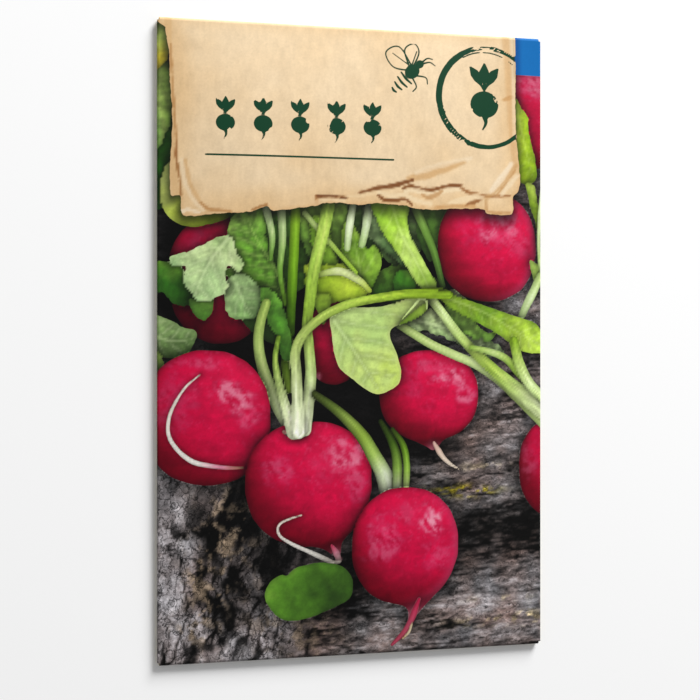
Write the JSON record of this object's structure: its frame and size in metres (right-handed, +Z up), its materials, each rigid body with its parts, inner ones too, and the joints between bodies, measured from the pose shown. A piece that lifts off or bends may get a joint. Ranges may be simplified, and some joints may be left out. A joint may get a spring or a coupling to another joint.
{
  "type": "paper seed packet",
  "caption": "Flat folded paper packet of radish seeds, lying on its back, with a printed front panel, a glued side seam and a folded flap at each end.",
  "frame": {"origin": "under the middle of the packet, on the surface that its two end flaps rest on", "axes": "+Z up out of the printed front panel, +Y along the packet towards its closing flap, +X across it towards the side seam"},
  "size_m": [0.1, 0.157, 0.0047],
  "materials": {
    "printed_paper": "matt uncoated grass-fibre paper, printed in full colour on the outside of the front panel",
    "dried_glue": "thin dried line of paper glue",
    "seed_coat": "dry, finely wrinkled red-brown seed coat"
  },
  "bodies": {
    "root": {"folded_sheet": "printed_paper", "seam_glue": "dried_glue", "bottom_flap_glue": "dried_glue", "closing_flap_glue": "dried_glue", "seed_01": "seed_coat", "seed_02": "seed_coat", "seed_03": "seed_coat", "seed_04": "seed_coat", "seed_05": "seed_coat", "seed_06": "seed_coat", "seed_07": "seed_coat", "seed_08": "seed_coat", "seed_09": "seed_coat", "seed_10": "seed_coat", "seed_11": "seed_coat", "seed_12": "seed_coat", "seed_13": "seed_coat", "seed_14": "seed_coat", "seed_15": "seed_coat", "seed_16": "seed_coat", "seed_17": "seed_coat", "seed_18": "seed_coat", "seed_19": "seed_coat", "seed_20": "seed_coat", "seed_21": "seed_coat", "seed_22": "seed_coat", "seed_23": "seed_coat", "seed_24": "seed_coat", "seed_25": "seed_coat", "seed_26": "seed_coat", "seed_27": "seed_coat", "seed_28": "seed_coat", "seed_29": "seed_coat", "seed_30": "seed_coat", "seed_31": "seed_coat", "seed_32": "seed_coat", "seed_33": "seed_coat", "seed_34": "seed_coat", "seed_35": "seed_coat", "seed_36": "seed_coat", "seed_37": "seed_coat", "seed_38": "seed_coat", "seed_39": "seed_coat", "seed_40": "seed_coat", "seed_41": "seed_coat", "seed_42": "seed_coat", "seed_43": "seed_coat", "seed_44": "seed_coat", "seed_45": "seed_coat", "seed_46": "seed_coat", "seed_47": "seed_coat", "seed_48": "seed_coat"}
  },
  "joints": []
}
